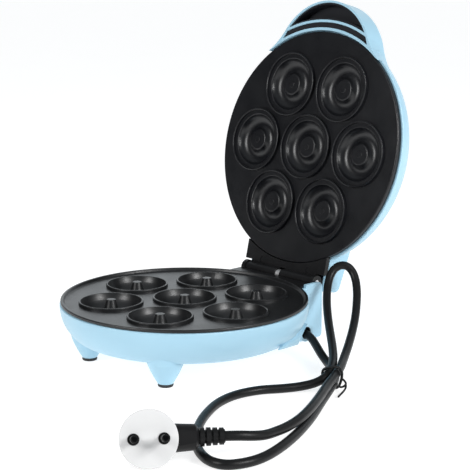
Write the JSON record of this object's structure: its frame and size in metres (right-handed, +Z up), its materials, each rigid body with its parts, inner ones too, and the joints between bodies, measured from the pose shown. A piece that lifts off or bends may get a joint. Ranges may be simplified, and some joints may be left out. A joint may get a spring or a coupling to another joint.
{
  "type": "donut maker",
  "caption": "Round table-top donut maker with a hinged domed lid, facing ring-cup plates, tapered front legs and a mains cord with a round two-pin plug.",
  "frame": {"origin": "on the table plane under the middle of the open appliance's box, cord left out; the base plate's axis is 43.77 mm in front of it", "axes": "+X to the right seen from the front, +Y back to the hinge, +Z up"},
  "size_m": [0.3004, 0.3719, 0.2677],
  "materials": {
    "shell": "satin",
    "foot_rubber": "matte",
    "base_plate": "non-stick coated, satin",
    "lid_plate": "non-stick coated, satin",
    "heater": "satin",
    "reflector": "bright",
    "screw": "satin",
    "thermostat": "matte",
    "fuse": "matte",
    "wiring": "matte",
    "black_plastic": "matte",
    "bushing": "matte",
    "hinge_black": "satin",
    "bright_steel": "bright",
    "cord": "satin",
    "tie": "satin",
    "plug_black": "satin",
    "plug_white": "matte",
    "plug_pin": "dark plated",
    "grip_black": "matte",
    "lamp_red": "clear tinted",
    "lamp_green": "clear tinted"
  },
  "bodies": {
    "base": {"base_shell": "shell", "front_feet": "foot_rubber", "rear_feet": "foot_rubber", "base_plate": "base_plate", "base_heating_element": "heater", "base_heat_reflector": "reflector", "base_plate_screws": "screw", "thermostat": "thermostat", "thermal_fuse": "fuse", "base_wiring": "wiring", "cord_clamp": "black_plastic", "cord_clamp_screw": "screw", "cord_bushing": "bushing", "base_hinge_bracket": "hinge_black", "hinge_pin": "bright_steel", "hinge_washers": "bright_steel", "base_hinge_screws": "screw", "power_cord": "cord", "cord_tie": "tie", "plug_strain_relief": "plug_black", "plug_body": "plug_black", "plug_face": "plug_white", "plug_pins": "plug_pin", "plug_pin_sleeves": "plug_black"},
    "lid": {"lid_shell": "shell", "grip_liner": "grip_black", "grip_slot_liner": "grip_black", "lid_plate": "lid_plate", "lid_heating_element": "heater", "lid_heat_reflector": "reflector", "lid_plate_screws": "screw", "lid_wiring": "wiring", "lid_hinge_bracket": "hinge_black", "lid_hinge_screws": "hinge_black", "power_lamp": "lamp_red", "ready_lamp": "lamp_green"}
  },
  "joints": [
    {"name": "lid_hinge", "type": "hinge", "parent": "base", "child": "lid", "pos_m": [0, 0.06283, 0.0473], "axis": [1, 0, 0], "range_deg": [0, 103.4]}
  ]
}
